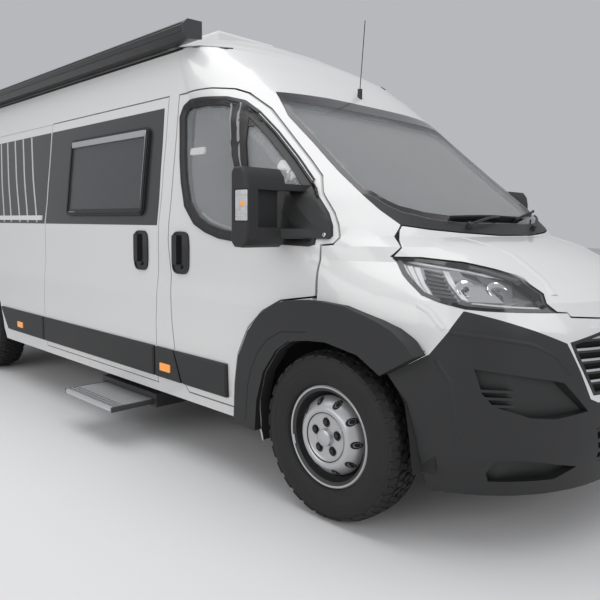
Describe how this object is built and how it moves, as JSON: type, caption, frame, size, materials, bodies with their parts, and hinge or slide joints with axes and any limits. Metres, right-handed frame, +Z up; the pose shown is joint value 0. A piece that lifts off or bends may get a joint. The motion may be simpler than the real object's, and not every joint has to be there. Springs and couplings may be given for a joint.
{
  "type": "camper van",
  "caption": "High-roof long-wheelbase camper van with hinged cab and rear doors, lifting bonnet, steered front wheels, sliding entrance step and side awning case.",
  "frame": {"origin": "on the ground under the middle of the overall length, on the van's centre plane", "axes": "+X towards the nose, +Y to the van's left, +Z up"},
  "size_m": [5.9978, 2.5, 2.535],
  "materials": {
    "white_paint": "gloss",
    "grey_plastic": "grained",
    "glass": "clear",
    "tinted_glass": "tinted",
    "lamp_clear": "clear",
    "lamp_red": "gloss",
    "tyre": "matte",
    "wheel_silver": "satin",
    "steel": "rough",
    "awning_case": "satin",
    "step_aluminium": "ribbed",
    "interior_plastic": "grained",
    "seat_fabric": "woven",
    "furniture": "laminate",
    "mattress": "woven",
    "underbody": "satin"
  },
  "bodies": {
    "body": {"arch_flares": "grey_plastic", "awning": "awning_case", "blinds": "mattress", "bulkhead": "white_paint", "cab_frame": "white_paint", "camper_windows": "tinted_glass", "chassis_rails": "underbody", "cowl": "grey_plastic", "dashboard": "interior_plastic", "engine": "steel", "fenders": "white_paint", "floor": "interior_plastic", "front_axle_frame": "underbody", "front_bumper": "grey_plastic", "furniture": "furniture", "grille": "grey_plastic", "headlamps": "lamp_clear", "mattress": "mattress", "nose_panel": "white_paint", "rear_axle": "steel", "rear_bumper": "grey_plastic", "roof": "white_paint", "roof_fittings": "tinted_glass", "seats": "seat_fabric", "side_left": "white_paint", "side_right": "white_paint", "side_strips": "grey_plastic", "sliding_door": "white_paint", "step_housing": "underbody", "tail_frame": "white_paint", "tail_lamps": "lamp_red", "tanks_and_exhaust": "underbody", "wheelhouses": "underbody", "windscreen": "glass"},
    "front_door_right": {"front_door_right": "white_paint", "front_door_glass_right": "glass", "mirror_right": "grey_plastic", "door_strip_right": "grey_plastic"},
    "front_door_left": {"front_door_left": "white_paint", "front_door_glass_left": "glass", "mirror_left": "grey_plastic", "door_strip_left": "grey_plastic"},
    "rear_door_right": {"rear_door_right": "white_paint", "rear_door_glass_right": "tinted_glass"},
    "rear_door_left": {"rear_door_left": "white_paint", "rear_door_glass_left": "tinted_glass"},
    "bonnet": {"bonnet": "white_paint"},
    "steering_wheel": {"steering_wheel": "interior_plastic"},
    "step": {"step_tread": "step_aluminium"},
    "knuckle_right": {"knuckle_right": "steel"},
    "knuckle_left": {"knuckle_left": "steel"},
    "wheel_front_right": {"tyre_front_right": "tyre", "rim_front_right": "wheel_silver"},
    "wheel_front_left": {"tyre_front_left": "tyre", "rim_front_left": "wheel_silver"},
    "wheel_rear_right": {"tyre_rear_right": "tyre", "rim_rear_right": "wheel_silver"},
    "wheel_rear_left": {"tyre_rear_left": "tyre", "rim_rear_left": "wheel_silver"}
  },
  "joints": [
    {"name": "steer_left", "type": "hinge", "parent": "body", "child": "knuckle_left", "pos_m": [2.051, 0.8, 0.37], "axis": [0, 0, 1], "range_deg": [-35, 35]},
    {"name": "steer_right", "type": "hinge", "parent": "body", "child": "knuckle_right", "pos_m": [2.051, -0.8, 0.37], "axis": [0, 0, 1], "range_deg": [-35, 35]},
    {"name": "steering_wheel_turn", "type": "hinge", "parent": "body", "child": "steering_wheel", "pos_m": [1.511, 0.41, 1.09], "axis": [-0.4695, 0, 0.8829], "range_deg": [-540, 540]},
    {"name": "front_door_right_swing", "type": "hinge", "parent": "body", "child": "front_door_right", "pos_m": [2.089, -0.957, 0.996], "axis": [0, 0, 1], "range_deg": [0, 70]},
    {"name": "front_door_left_swing", "type": "hinge", "parent": "body", "child": "front_door_left", "pos_m": [2.089, 0.957, 0.996], "axis": [0, 0, -1], "range_deg": [0, 70]},
    {"name": "rear_door_right_swing", "type": "hinge", "parent": "body", "child": "rear_door_right", "pos_m": [-2.949, -0.787, 1.35], "axis": [0, 0, 1], "range_deg": [0, 180]},
    {"name": "rear_door_left_swing", "type": "hinge", "parent": "body", "child": "rear_door_left", "pos_m": [-2.949, 0.787, 1.35], "axis": [0, 0, -1], "range_deg": [0, 180]},
    {"name": "bonnet_lift", "type": "hinge", "parent": "body", "child": "bonnet", "pos_m": [2.146, 0, 1.278], "axis": [0, -1, 0], "range_deg": [0, 50]},
    {"name": "step_slide", "type": "slide", "parent": "body", "child": "step", "axis": [0, 1, 0], "range_m": [0, 0.25]},
    {"name": "wheel_front_right_spin", "type": "hinge", "parent": "knuckle_right", "child": "wheel_front_right", "pos_m": [2.051, -0.905, 0.37], "axis": [0, 1, 0], "continuous": true},
    {"name": "wheel_front_left_spin", "type": "hinge", "parent": "knuckle_left", "child": "wheel_front_left", "pos_m": [2.051, 0.905, 0.37], "axis": [0, 1, 0], "continuous": true},
    {"name": "wheel_rear_right_spin", "type": "hinge", "parent": "body", "child": "wheel_rear_right", "pos_m": [-1.984, -0.895, 0.37], "axis": [0, 1, 0], "continuous": true},
    {"name": "wheel_rear_left_spin", "type": "hinge", "parent": "body", "child": "wheel_rear_left", "pos_m": [-1.984, 0.895, 0.37], "axis": [0, 1, 0], "continuous": true}
  ],
  "couplings": [
    {"joint": "steer_right", "follows": "steer_left", "ratio": 1},
    {"joint": "steering_wheel_turn", "follows": "steer_left", "ratio": 15}
  ]
}
